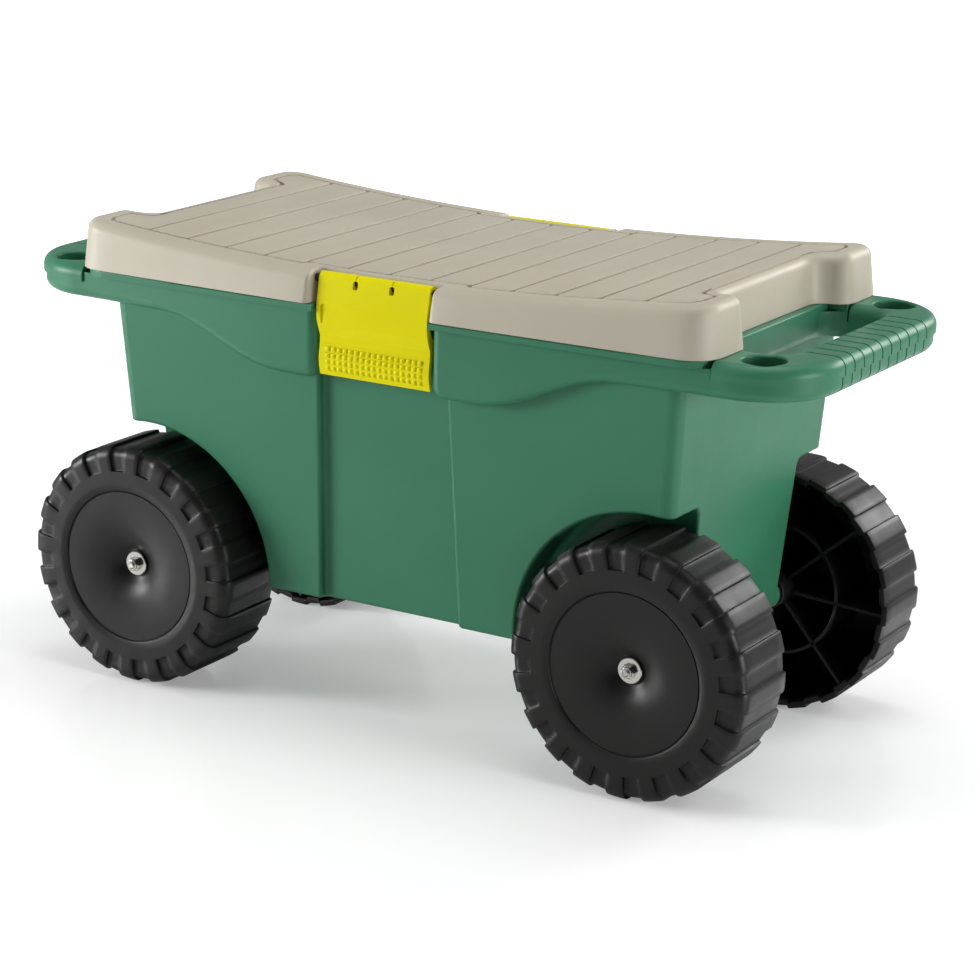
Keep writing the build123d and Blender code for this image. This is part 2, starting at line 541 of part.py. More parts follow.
# ---------------------------------------------------------------- wheel, in its own frame about the Y axis
with BuildPart() as wheel:
    # tyre, sidewall, dished face and hub tube in one moulding. X is the radius here and -Y points outward.
    with BuildSketch(Plane.XY):
        with BuildLine():
            bore = AXLE_R + RUNNING_FIT
            Line((bore, -HUB_OUTER_Y), (HUB_R, -HUB_OUTER_Y))
            Spline(
                (HUB_R, -HUB_OUTER_Y), (26, -118.6), (DISH_R, -WHEEL_OUTER_Y + 1.2), tangents=((1, -0.55), (1, -0.1))
            )
            Line((DISH_R, -WHEEL_OUTER_Y + 1.2), (DISH_R + 1.5, -WHEEL_OUTER_Y))
            Line((DISH_R + 1.5, -WHEEL_OUTER_Y), (WHEEL_R - TYRE_EDGE_R, -WHEEL_OUTER_Y))
            RadiusArc(
                (WHEEL_R - TYRE_EDGE_R, -WHEEL_OUTER_Y), (WHEEL_R, -WHEEL_OUTER_Y + TYRE_EDGE_R), -TYRE_EDGE_R
            )
            Line((WHEEL_R, -WHEEL_OUTER_Y + TYRE_EDGE_R), (WHEEL_R, -WHEEL_INNER_Y))
            Line((WHEEL_R, -WHEEL_INNER_Y), (WHEEL_R - TYRE_WALL, -WHEEL_INNER_Y))
            Line((WHEEL_R - TYRE_WALL, -WHEEL_INNER_Y), (WHEEL_R - TYRE_WALL, -WHEEL_OUTER_Y + 13))
            Line((WHEEL_R - TYRE_WALL, -WHEEL_OUTER_Y + 13), (WHEEL_R - 11, -WHEEL_OUTER_Y + TYRE_WALL))
            Line((WHEEL_R - 11, -WHEEL_OUTER_Y + TYRE_WALL), (DISH_R, -WHEEL_OUTER_Y + TYRE_WALL + 1))
            Line((DISH_R, -WHEEL_OUTER_Y + TYRE_WALL + 1), (26, -114.6))
            Line((26, -114.6), (HUB_TUBE_R, -107))
            Line((HUB_TUBE_R, -107), (HUB_TUBE_R, -HUB_INNER_Y))
            Line((HUB_TUBE_R, -HUB_INNER_Y), (bore, -HUB_INNER_Y))
            Line((bore, -HUB_INNER_Y), (bore, -HUB_OUTER_Y))
        make_face()
    revolve(axis=Axis.Y)
    # eight spokes and a ring stiffen the back of the sidewall
    with BuildSketch(Plane.XY.offset(-SPOKE_THICKNESS / 2)):
        Polygon(
            (HUB_TUBE_R - 1, -SPOKE_INNER_Y),
            (WHEEL_R - TYRE_WALL + 1, -SPOKE_INNER_Y),
            (WHEEL_R - TYRE_WALL + 1, -WHEEL_OUTER_Y + 12),
            (WHEEL_R - 12, -WHEEL_OUTER_Y + TYRE_WALL - 1),
            (DISH_R, -WHEEL_OUTER_Y + TYRE_WALL),
            (26, -115.6),
            (HUB_TUBE_R - 1, -108),
            align=None,
        )
    spoke = extrude(amount=SPOKE_THICKNESS, mode=Mode.PRIVATE)
    for index in range(SPOKE_COUNT):
        add(spoke.rotate(Axis.Y, SPOKE_START + index * 360 / SPOKE_COUNT))
    with BuildSketch(Plane.XY):
        with Locations((SPOKE_RING_R, -(SPOKE_INNER_Y + 118) / 2)):
            Rectangle(SPOKE_THICKNESS, 118 - SPOKE_INNER_Y)
    revolve(axis=Axis.Y)
    # twenty tread grooves, each running over the shoulder into a pocket on the sidewall
    with BuildSketch(Plane.XY):
        with BuildLine():
            depth = GROOVE_DEPTH
            Line((POCKET_R, -WHEEL_OUTER_Y - 1), (POCKET_R, -WHEEL_OUTER_Y + depth))
            Line((POCKET_R, -WHEEL_OUTER_Y + depth), (WHEEL_R - TYRE_EDGE_R, -WHEEL_OUTER_Y + depth))
            RadiusArc(
                (WHEEL_R - TYRE_EDGE_R, -WHEEL_OUTER_Y + depth),
                (WHEEL_R - depth, -WHEEL_OUTER_Y + TYRE_EDGE_R),
                -TYRE_EDGE_R + depth,
            )
            Line((WHEEL_R - depth, -WHEEL_OUTER_Y + TYRE_EDGE_R), (WHEEL_R - depth, -WHEEL_INNER_Y + 1))
            Line((WHEEL_R - depth, -WHEEL_INNER_Y + 1), (WHEEL_R + 3, -WHEEL_INNER_Y + 1))
            Line((WHEEL_R + 3, -WHEEL_INNER_Y + 1), (WHEEL_R + 3, -WHEEL_OUTER_Y - 1))
            Line((WHEEL_R + 3, -WHEEL_OUTER_Y - 1), (POCKET_R, -WHEEL_OUTER_Y - 1))
        make_face()
    groove = revolve(axis=Axis.Y, revolution_arc=GROOVE_ANGLE, mode=Mode.PRIVATE)
    for index in range(GROOVE_COUNT):
        add(groove.rotate(Axis.Y, GROOVE_START + index * 360 / GROOVE_COUNT), mode=Mode.SUBTRACT)


# ---------------------------------------------------------------- axle and its fasteners, in the wheel's frame
with BuildPart() as axle:
    with BuildSketch(Plane.XZ.offset(-AXLE_SHOULDER_Y)):
        Circle(AXLE_R)
    extrude(amount=2 * AXLE_SHOULDER_Y)
    with BuildSketch(Plane.XZ.offset(-AXLE_END_Y)):
        Circle(THREAD_R)
    extrude(amount=2 * AXLE_END_Y)
    ends = axle.faces().sort_by(Axis.Y)
    chamfer(ends[0].edges() + ends[-1].edges(), 0.8)


def washer(y_from, radius, hole_r, thickness):
    """Flat washer on the axle, starting y_from out from the middle of the cart on the front side."""
    with BuildPart() as ring:
        with BuildSketch(Plane.XZ.offset(y_from)):
            Circle(radius)
            Circle(hole_r, mode=Mode.SUBTRACT)
        extrude(amount=thickness)
        chamfer(ring.faces().sort_by(Axis.Y)[0].outer_wire().edges(), 0.4)
    return ring.part


with BuildPart() as lock_nut:
    # thin hexagon with a round collar that holds the locking insert
    nut_y = AXLE_SHOULDER_Y + WASHER_THICKNESS
    with BuildSketch(Plane.XZ.offset(nut_y)):
        RegularPolygon(NUT_FLATS / 2, 6, major_radius=False)
    extrude(amount=NUT_HEIGHT)
    chamfer(lock_nut.faces().sort_by(Axis.Y)[0].edges(), 0.5)
    with BuildSketch(Plane.XZ.offset(nut_y + NUT_HEIGHT)):
        Circle(NUT_FLATS / 2 - 0.6)
    extrude(amount=NUT_COLLAR)
    fillet(lock_nut.faces().sort_by(Axis.Y)[0].edges(), 0.4)
    with BuildSketch(Plane.XZ.offset(nut_y)):
        Circle(THREAD_R)
    extrude(amount=NUT_HEIGHT + NUT_COLLAR, mode=Mode.SUBTRACT)


# ---------------------------------------------------------------- placing and writing
def write(piece, name):
    """Labels a finished piece and writes it to its own STEP file."""
    piece.label = name
    export_step(piece, f"parts/{name}.step")


os.makedirs("parts", exist_ok=True)
write(tub.part, "tub")
write(lid.part, "lid")
right_cover = handle_cover()
write(right_cover, "handle_cover_right")
write(mirror(right_cover, about=Plane.YZ), "handle_cover_left")

front_latch = latch_piece()
write(front_latch, "front_latch")
write(mirror(front_latch, about=Plane.XZ), "rear_latch")
write(latch_pin.part, "front_latch_pin")
write(mirror(latch_pin.part, about=Plane.XZ), "rear_latch_pin")

inner_washer = washer(AXLE_BOSS_END, 9.5, AXLE_R, WASHER_THICKNESS)
outer_washer = washer(AXLE_SHOULDER_Y, 8.0, THREAD_R, WASHER_THICKNESS)
wheel_pieces = {
    "wheel": wheel.part,
    "inner_washer": inner_washer,
    "outer_washer": outer_washer,
    "lock_nut": lock_nut.part,
}
for side, axle_x in (("right", AXLE_X), ("left", -AXLE_X)):
    place = Location((axle_x, 0, AXLE_Z))
    write(axle.part.moved(place), f"axle_{side}")
    for name, piece in wheel_pieces.items():
        write(piece.moved(place), f"{name}_front_{side}")
        write(mirror(piece, about=Plane.XZ).moved(place), f"{name}_rear_{side}")
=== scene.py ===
"""Looks of a rolling garden tool cart with a seat lid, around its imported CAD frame.

Lengths are in metres throughout.
"""

import json
import math

import bmesh
import bpy
from mathutils import Matrix, Vector


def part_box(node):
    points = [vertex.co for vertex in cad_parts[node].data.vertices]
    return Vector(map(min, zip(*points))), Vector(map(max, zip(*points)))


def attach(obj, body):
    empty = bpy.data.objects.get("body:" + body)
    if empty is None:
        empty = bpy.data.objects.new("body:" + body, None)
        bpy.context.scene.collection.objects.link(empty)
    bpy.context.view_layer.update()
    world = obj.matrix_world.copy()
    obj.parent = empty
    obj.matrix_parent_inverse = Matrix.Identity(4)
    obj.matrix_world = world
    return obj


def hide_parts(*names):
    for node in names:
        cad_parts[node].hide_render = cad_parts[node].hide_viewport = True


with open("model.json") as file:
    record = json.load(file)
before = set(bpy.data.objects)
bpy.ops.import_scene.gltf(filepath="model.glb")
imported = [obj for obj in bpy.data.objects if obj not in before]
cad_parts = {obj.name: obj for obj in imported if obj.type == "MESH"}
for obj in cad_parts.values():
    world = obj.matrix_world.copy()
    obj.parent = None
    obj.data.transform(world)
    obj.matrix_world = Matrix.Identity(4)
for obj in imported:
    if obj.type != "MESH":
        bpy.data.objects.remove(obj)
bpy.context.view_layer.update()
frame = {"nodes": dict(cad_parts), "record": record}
MM = 0.001


# ---------------------------------------------------------------- places read from the frame
lid_low, lid_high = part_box("lid")
wheel_low, wheel_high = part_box("wheel_front_right")
WHEEL_R = (wheel_high.z - wheel_low.z) / 2
WHEEL_X = (wheel_high.x + wheel_low.x) / 2
WHEEL_Z = (wheel_high.z + wheel_low.z) / 2


# ---------------------------------------------------------------- materials
def new_material(name, **settings):
    """A material with one Principled shader, its constant settings put on the shader's own sockets."""
    material = bpy.data.materials.new(name)
    material.use_nodes = True
    shader = material.node_tree.nodes["Principled BSDF"]
    for socket, value in settings.items():
        shader.inputs[socket.replace("_", " ")].default_value = value
    return material


def noise(tree, scale, detail=2.0, roughness=0.5, stretch=(1, 1, 1)):
    """A noise texture in the object's own metres; scale is in features per metre."""
    place = tree.nodes.new("ShaderNodeTexCoord")
    mapping = tree.nodes.new("ShaderNodeMapping")
    mapping.inputs["Scale"].default_value = stretch
    texture = tree.nodes.new("ShaderNodeTexNoise")
    texture.inputs["Scale"].default_value = scale
    texture.inputs["Detail"].default_value = detail
    texture.inputs["Roughness"].default_value = roughness
    tree.links.new(place.outputs["Object"], mapping.inputs["Vector"])
    tree.links.new(mapping.outputs["Vector"], texture.inputs["Vector"])
    return texture.outputs["Fac"]


def span(tree, value, low, high, from_low=0.3, from_high=0.7):
    """A value mapped to the range low to high."""
    node = tree.nodes.new("ShaderNodeMapRange")
    node.inputs["From Min"].default_value = from_low
    node.inputs["From Max"].default_value = from_high
    node.inputs["To Min"].default_value = low
    node.inputs["To Max"].default_value = high
    tree.links.new(value, node.inputs["Value"])
    return node.outputs["Result"]


def colour_mix(tree, factor, first, second):
    """Two colours mixed by a factor."""
    node = tree.nodes.new("ShaderNodeMix")
    node.data_type = "RGBA"
    node.inputs["A"].default_value = (*first, 1)
    node.inputs["B"].default_value = (*second, 1)
    tree.links.new(factor, node.inputs["Factor"])
    return node.outputs["Result"]


def bump(tree, height, distance, strength=1.0, under=None):
    """A bump of that real height in metres, over another one if given."""
    node = tree.nodes.new("ShaderNodeBump")
    node.inputs["Distance"].default_value = distance
    node.inputs["Strength"].default_value = strength
    tree.links.new(height, node.inputs["Height"])
    if under is not None:
        tree.links.new(under, node.inputs["Normal"])
    return node.outputs["Normal"]


def moulded_plastic(name, dark, light, roughness, grain_mm, grain_depth_mm, **settings):
    """Moulded plastic: cloudy colour, uneven gloss, a fine grain and a slight waviness of the wall."""
    material = new_material(name, **settings)
    tree = material.node_tree
    shader = tree.nodes["Principled BSDF"]
    cloud = span(tree, noise(tree, scale=14, detail=3), 0, 1)
    tree.links.new(colour_mix(tree, cloud, dark, light), shader.inputs["Base Color"])
    scuff = noise(tree, scale=45, detail=5, roughness=0.6)
    tree.links.new(span(tree, scuff, *roughness), shader.inputs["Roughness"])
    waves = bump(tree, noise(tree, scale=9, detail=1), distance=0.6 * MM, strength=0.5)
    pebbles = noise(tree, scale=1 / (grain_mm * MM), detail=2, roughness=0.6)
    grain = bump(tree, pebbles, distance=grain_depth_mm * MM, under=waves)
    tree.links.new(grain, shader.inputs["Normal"])
    return material


def plated_metal(name, colour, roughness):
    """Turned and plated steel with fine running marks."""
    material = new_material(name, Base_Color=(*colour, 1), Metallic=1.0)
    tree = material.node_tree
    shader = tree.nodes["Principled BSDF"]
    marks = noise(tree, scale=700, detail=3, roughness=0.6, stretch=(1, 0.15, 1))
    tree.links.new(span(tree, marks, *roughness), shader.inputs["Roughness"])
    tree.links.new(bump(tree, marks, distance=0.03 * MM, strength=0.6), shader.inputs["Normal"])
    return material


GREEN = moulded_plastic(
    "green_tub_plastic",
    (0.038, 0.190, 0.104),
    (0.043, 0.204, 0.112),
    (0.34, 0.44),
    0.9,
    0.012,
    Specular_IOR_Level=0.30,
)
BEIGE = moulded_plastic(
    "beige_lid_plastic",
    (0.49, 0.45, 0.36),
    (0.525, 0.485, 0.392),
    (0.40, 0.52),
    1.0,
    0.060,
    Specular_IOR_Level=0.40,
)
YELLOW = moulded_plastic(
    "yellow_latch_plastic",
    (0.77, 0.70, 0.001),
    (0.81, 0.74, 0.0015),
    (0.30, 0.40),
    0.8,
    0.010,
    Specular_IOR_Level=0.10,
)
BLACK = moulded_plastic(
    "black_wheel_plastic",
    (0.0085, 0.008, 0.008),
    (0.0115, 0.011, 0.0105),
    (0.34, 0.46),
    0.8,
    0.012,
    Specular_IOR_Level=0.30,
)
NICKEL = plated_metal("nickel_plate", (0.60, 0.58, 0.55), (0.10, 0.20))
ROD = plated_metal("drawn_rod", (0.52, 0.51, 0.49), (0.25, 0.42))
DARK_PIN = plated_metal("blackened_pin", (0.06, 0.06, 0.06), (0.35, 0.5))
SLOT_MATERIALS = {
    "tub_green": GREEN,
    "lid_beige": BEIGE,
    "latch_yellow": YELLOW,
    "wheel_black": BLACK,
    "nickel_steel": NICKEL,
    "axle_steel": ROD,
    "pin_dark_steel": DARK_PIN,
}


def dress_cad_nodes():
    """Gives every CAD node the material of its slot in the record."""
    for subpart in frame["record"]["subparts"]:
        node = frame["nodes"][subpart["node"]]
        node.data.materials.clear()
        node.data.materials.append(SLOT_MATERIALS[subpart["material_slot"]])


# ---------------------------------------------------------------- mesh helpers
def rounded_outline(corners, inset=0.0, arc_steps=6, run_length=0.012):
    """Points of a closed counter-clockwise polygon with rounded corners, moved inward by inset.

    corners holds (x, y, radius), and may hold a share of the inset for the side that follows.
    The number of points doesn't depend on inset, so outlines can be lofted."""
    plan = [Vector(corner[:2]) for corner in corners]
    insets = [inset * (corner[3] if len(corner) > 3 else 1) for corner in corners]
    count = len(plan)
    runs = [(plan[(i + 1) % count] - plan[i]).normalized() for i in range(count)]
    normals = [Vector((-run.y, run.x)) for run in runs]
    points = []
    tangents = []
    for i in range(count):
        before, after = runs[i - 1], runs[i]
        turn = before.x * after.y - before.y * after.x
        sides = Matrix((normals[i - 1], normals[i]))
        corner = plan[i] + sides.inverted() @ Vector((insets[i - 1], insets[i]))
        radius = max(corners[i][2] - math.copysign((insets[i - 1] + insets[i]) / 2, turn), 0.0004)
        angle = math.atan2(turn, before.dot(after))
        tangents.append((corner, radius, angle, before, after))
    for i in range(count):
        corner, radius, angle, before, after = tangents[i]
        reach = radius * math.tan(abs(angle) / 2)
        start = corner - before * reach
        side = Vector((-before.y, before.x)) * math.copysign(1, angle)
        centre = start + side * radius
        for step in range(arc_steps + 1):
            turned = angle * step / arc_steps
            points.append(centre + Matrix.Rotation(turned, 2) @ (start - centre))
        following = tangents[(i + 1) % count]
        next_reach = following[1] * math.tan(abs(following[2]) / 2)
        run_end = following[0] - after * next_reach
        run_start = points[-1]
        pieces = max(1, round((plan[(i + 1) % count] - plan[i]).length / run_length))
        for step in range(1, pieces):
            points.append(run_start.lerp(run_end, step / pieces))
    return points


def bridge(bm, first, second):
    """Quads between two closed rings of vertices."""
    count = len(first)
    for i in range(count):
        j = (i + 1) % count
        bm.faces.new((first[i], first[j], second[j], second[i]))


def ring(bm, points):
    """A ring of new vertices."""
    return [bm.verts.new(point) for point in points]


def finish_piece(bm, name, material, body, smooth_angle=35, replaced=()):
    """Turns a bmesh into a piece of the object, riding on its body."""
    bmesh.ops.recalc_face_normals(bm, faces=bm.faces)
    mesh = bpy.data.meshes.new(name)
    bm.to_mesh(mesh)
    bm.free()
    piece = bpy.data.objects.new(name, mesh)
    bpy.context.scene.collection.objects.link(piece)
    mesh.materials.append(material)
    mesh.shade_smooth()
    mesh.set_sharp_from_angle(angle=math.radians(smooth_angle))
    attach(piece, body)
    if replaced:
        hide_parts(*replaced)


# ---------------------------------------------------------------- seat lid
LID_Z = lid_low.z
LID_END = lid_high.x
LID_SIDE = 0.118
LID_BOW = lid_high.y - LID_SIDE
SEAT_MIDDLE = 0.2882
SEAT_CURVE = 2.07
PLANK_PITCH = 0.0296
PLANK_GAP = 0.0023
PLANK_DEPTH = 0.0023
PLANK_HALF = 0.100
PLANK_STEP = 0.0048
PLANK_END = 0.2095
PLANK_COUNT = 14
PLANK_CORNER_R = 0.0012
LID_WALL = 0.003
LID_EDGE = 0.0072
LID_EDGE_STEPS = 7
LID_DRAFT = 0.0026
LID_CORNER_R = 0.020
GAP_HALF = 0.043
GAP_DEPTH_Y = 0.104
GAP_MOUTH_R = 0.0042
GAP_CORNER_R = 0.001
GAP_INSET = 0.35
RECESS_X = 0.206
RECESS_Y = 0.062
RECESS_MOUTH_Y = 0.067
RECESS_R = 0.012
BOW_FROM_Y = 0.105
BOW_BLEND = 0.010
STRIP_END = 0.2175
STRIP_WIDTH = 0.0145
RIB_COUNT = 7
RIB_THICKNESS = 0.002
RIB_LENGTH = 0.199
RIB_BOTTOM = 0.277
RIB_EDGE = 0.0005

# plan of half the lid as x, y, corner radius and the share of the inset on the side that follows
LID_FRONT = [
    (GAP_HALF, -LID_SIDE, GAP_MOUTH_R, 1),
    (LID_END, -LID_SIDE, LID_CORNER_R, 1),
    (LID_END, -RECESS_MOUTH_Y, RECESS_R, 1),
    (RECESS_X, -RECESS_Y, RECESS_R, 1),
]
LID_BACK = [
    (RECESS_X, RECESS_Y, RECESS_R, 1),
    (LID_END, RECESS_MOUTH_Y, RECESS_R, 1),
    (LID_END, LID_SIDE, LID_CORNER_R, 1),
    (GAP_HALF, LID_SIDE, GAP_MOUTH_R, GAP_INSET),
    (GAP_HALF, GAP_DEPTH_Y, GAP_CORNER_R, GAP_INSET),
    (-GAP_HALF, GAP_DEPTH_Y, GAP_CORNER_R, GAP_INSET),
]

# plan of half of the planked area's right end as x, y and corner radius, from the front inward
PANEL_END = [
    (PLANK_END - 0.004, -PLANK_HALF, 0.002),
    (PLANK_END, -PLANK_HALF + 0.006, 0.004),
    (PLANK_END, -0.0785, 0.004),
    (PLANK_END - 0.0135, -0.0715, 0.006),
]

# rounded upper edges beside the grooves as inset and drop, from the top down
SOFT_EDGE = [(0.0004, 0.0), (0.0001, 0.0002), (0.0, 0.0005)]


def lid_corners():
    """The lid's plan, counter-clockwise. Its left half is the right half turned by half a turn."""
    half = LID_FRONT + LID_BACK
    return half + [(-x, -y, r, share) for x, y, r, share in half]


def seat_z(x):
    """Height of the dished seat at x."""
    return SEAT_MIDDLE + x * x / (2 * SEAT_CURVE)


def bowed(point):
    """The long sides bulge outward towards the middle."""
    weight = min(max((abs(point.y) - BOW_FROM_Y) / BOW_BLEND, 0), 1)
    bulge = LID_BOW * max(0, 1 - (point.x / RECESS_X) ** 2)
    return Vector((point.x, point.y + math.copysign(bulge * weight, point.y)))


def lid_ring(bm, inset, height):
    """One ring of the lid. height(x) gives its z."""
    outline = [bowed(p) for p in rounded_outline(lid_corners(), inset)]
    return ring(bm, [(p.x, p.y, height(p.x)) for p in outline])


def lid_levels(thickness):
    """Insets and height functions from the lid's lower edge over the rounded top edge."""
    edge = LID_EDGE - thickness * 0.5

    def side_z(x, t):
        """Height on the side wall, from 0 at the lower edge to 1 where the rounding starts."""
        return LID_Z + t * (seat_z(x) - thickness - edge - LID_Z)

    levels = []
    for t in (0.0, 0.25, 0.5, 0.75, 1.0):
        levels.append((thickness + LID_DRAFT * t, lambda x, t=t: side_z(x, t)))
    for step in range(1, LID_EDGE_STEPS + 1):
        angle = math.pi / 2 * step / LID_EDGE_STEPS
        inset = thickness + LID_DRAFT + edge * (1 - math.cos(angle))
        drop = thickness + edge * (1 - math.sin(angle))
        levels.append((inset, lambda x, drop=drop: seat_z(x) - drop))
    return levels


def follow_seat(bm, faces, height):
    """Cuts flat faces into strips that follow the dished seat."""
    edges = {edge for face in faces for edge in face.edges}
    verts = {vert for face in faces for vert in face.verts}
    geometry = [*faces, *edges, *verts]
    for index in range(round(2 * STRIP_END / STRIP_WIDTH) + 1):
        place = (index * STRIP_WIDTH - STRIP_END, 0, 0)
        cut = bmesh.ops.bisect_plane(bm, geom=geometry, plane_co=place, plane_no=(1, 0, 0), dist=1e-7)
        geometry = cut["geom"]
        for vert in (v for v in cut["geom_cut"] if isinstance(v, bmesh.types.BMVert)):
            vert.co.z = height(vert.co.x)


def fill_between(bm, outer, inner):
    """Faces between an outer ring and the hole in it."""
    loops = (zip(points, points[1:] + points[:1]) for points in (outer, inner))
    edges = [bm.edges.get(pair) for loop in loops for pair in loop]
    filled = bmesh.ops.triangle_fill(bm, edges=edges, use_beauty=True, normal=(0, 0, 1))
    return [item for item in filled["geom"] if isinstance(item, bmesh.types.BMFace)]


def plank_end(side):
    """The stepped outer end of the planked area, on the right for a side of 1 and the left for -1."""
    corners = PANEL_END + [(x, -y, r) for x, y, r in reversed(PANEL_END)]
    return [(side * x, side * y, r) for x, y, r in corners]


def plank_corners(index):
    """Plan of one plank. The end ones step back at the recesses, the middle ones at the latches."""
    half = (PLANK_PITCH - PLANK_GAP) / 2
    from_middle = index - (PLANK_COUNT - 1) / 2
    left = from_middle * PLANK_PITCH - half
    right = from_middle * PLANK_PITCH + half
    depth = PLANK_HALF - (PLANK_STEP if abs(from_middle) < 2 else 0)
    if index == 0:
        return [(right, -depth, PLANK_CORNER_R), (right, depth, PLANK_CORNER_R)] + plank_end(-1)
    if index == PLANK_COUNT - 1:
        return [(left, depth, PLANK_CORNER_R), (left, -depth, PLANK_CORNER_R)] + plank_end(1)
    corners = [(left, -depth), (right, -depth), (right, depth), (left, depth)]
    return [(x, y, PLANK_CORNER_R) for x, y in corners]


def panel_corners():
    """Plan of the whole planked area."""
    step_x = 2 * PLANK_PITCH + PLANK_GAP / 2
    shallow = PLANK_HALF - PLANK_STEP
    front = [(step_x, -shallow, GAP_CORNER_R), (step_x, -PLANK_HALF, GAP_CORNER_R)]
    back = [(step_x, PLANK_HALF, GAP_CORNER_R), (step_x, shallow, GAP_CORNER_R)]
    half = front + plank_end(1) + back
    return half + [(-x, -y, r) for x, y, r in half]


def add_plank(bm, corners):
    """A plank between its grooves, level with the rim of the seat."""
    rings = []
    for inset, drop in [(0.0, PLANK_DEPTH + 0.0004)] + SOFT_EDGE[::-1]:
        outline = rounded_outline(corners, inset, 3, 0.5)
        rings.append(ring(bm, [(p.x, p.y, seat_z(p.x) - drop) for p in outline]))
    for first, second in zip(rings, rings[1:]):
        bridge(bm, first, second)
    bm.faces.new(rings[-1])
    bm.faces.new(reversed(rings[0]))


def add_seat_top(bm, outer, inner):
    """Closes the lid's outer and inner skins, with a sunken floor for the planks in the outer one."""
    sunken = []
    for inset, drop in SOFT_EDGE + [(0.0, PLANK_DEPTH)]:
        outline = rounded_outline(panel_corners(), -PLANK_GAP - inset, 3)
        sunken.append(ring(bm, [(p.x, p.y, seat_z(p.x) - drop) for p in outline]))
    for first, second in zip(sunken, sunken[1:]):
        bridge(bm, first, second)
    follow_seat(bm, fill_between(bm, outer, sunken[0]), seat_z)
    follow_seat(bm, [bm.faces.new(sunken[-1])], lambda x: seat_z(x) - PLANK_DEPTH)
    follow_seat(bm, [bm.faces.new(inner)], lambda x: seat_z(x) - LID_WALL)


def make_lid():
    """The seat lid: an open shell with fourteen planks between grooves on its dished top."""
    bm = bmesh.new()
    outer = [lid_ring(bm, inset, height) for inset, height in lid_levels(0.0)]
    inner = [lid_ring(bm, inset, height) for inset, height in lid_levels(LID_WALL)]
    for rings in (outer, inner):
        for first, second in zip(rings, rings[1:]):
            bridge(bm, first, second)
    bridge(bm, inner[0], outer[0])
    add_seat_top(bm, outer[-1], inner[-1])
    for index in range(PLANK_COUNT):
        add_plank(bm, plank_corners(index))
    finish_piece(bm, "seat_lid", BEIGE, "lid", 40, ["lid"])


def make_lid_ribs():
    """Cross ribs under the seat."""
    bm = bmesh.new()
    for index in range(RIB_COUNT):
        x = (index - RIB_COUNT // 2) * 2 * PLANK_PITCH
        top = seat_z(x) - LID_WALL + RIB_EDGE
        size = (RIB_THICKNESS, RIB_LENGTH, top - RIB_BOTTOM, 1)
        matrix = Matrix.Translation((x, 0, (top + RIB_BOTTOM) / 2)) @ Matrix.Diagonal(size)
        bmesh.ops.create_cube(bm, size=1, matrix=matrix)
    bmesh.ops.bevel(bm, geom=bm.edges[:], offset=RIB_EDGE, segments=2, affect="EDGES")
    finish_piece(bm, "seat_lid_ribs", BEIGE, "lid", 40)


# ---------------------------------------------------------------- wheels
TREAD_OUT = -wheel_low.y
RIM_IN = 0.0705
HUB_FACE = 0.1132
HUB_R = 0.0092
DISH_R = 0.0490
DISH_RISE = 0.0092
DISH_STEEPNESS = 4.0
DISH_STEPS = 12
LUG_COUNT = 20
LUG_CENTRE = 6.2
LUG_HALF = 4.25
LUG_DEPTH = 0.0019
POCKET_R = 0.063
SHOULDER = 0.008
SHOULDER_STEPS = 8
SPOKE_COUNT = 8
SPOKE_START = -4.0
SPOKE_HALF_THICKNESS = 0.001
STIFFENER_STEPS = 96

# fine ring round the dish and flat sidewall outside it, as radius and distance out from the tread
SIDEWALL = [
    (0.0494, -0.0016),
    (0.0498, -0.0015),
    (0.0502, -0.0003),
    (0.0506, 0),
    (0.056, 0),
    (0.0618, 0),
]

# inner edge of the sidewall's pockets, as distance out from it and share of the lug relief
POCKET_EDGE = [(-0.0004, 0.04), (0, 0.9), (0.0006, 1), (0.004, 1)]

# rounded inner edge of the tread, as depth below the tread and distance out from the edge
TREAD_EDGE = [(0, 0.0008), (0.0002, 0.0002), (0.0008, 0), (0.0034, 0), (0.004, 0.0005)]

# hollow back of the wheel down to the hub tube, as in the wheel's section
WHEEL_BACK = [
    (WHEEL_R - 0.0042, 0.085, 1),
    (WHEEL_R - 0.0045, 0.100, 1),
    (WHEEL_R - 0.0045, 0.112, 0.6),
    (WHEEL_R - 0.0085, 0.1178, 0),
    (0.0655, 0.1193, 0),
    (0.052, 0.1195, 0),
    (0.046, 0.1182, 0),
    (0.036, 0.1165, 0),
    (0.026, 0.1146, 0),
    (0.017, 0.1120, 0),
    (0.0125, 0.1095, 0),
    (0.0112, 0.1070, 0),
    (0.011, 0.085, 0),
    (0.011, 0.0647, 0),
    (0.0104, 0.0641, 0),
    (0.0047, 0.0641, 0),
    (0.00415, 0.0647, 0),
    (0.00415, HUB_FACE - 0.0005, 0),
]

# outline of a spoke and section of the stiffening ring: radius, distance from the cart's middle
SPOKE = [
    (0.0105, 0.0735),
    (WHEEL_R - 0.0048, 0.0735),
    (WHEEL_R - 0.0048, 0.113),
    (0.0695, 0.1185),
    (0.052, 0.1200),
    (0.026, 0.1150),
    (0.0105, 0.1085),
]
STIFFENER = [
    (0.0415, 0.118),
    (0.0415, 0.0738),
    (0.0419, 0.0735),
    (0.0431, 0.0735),
    (0.0435, 0.0738),
    (0.0435, 0.118),
]


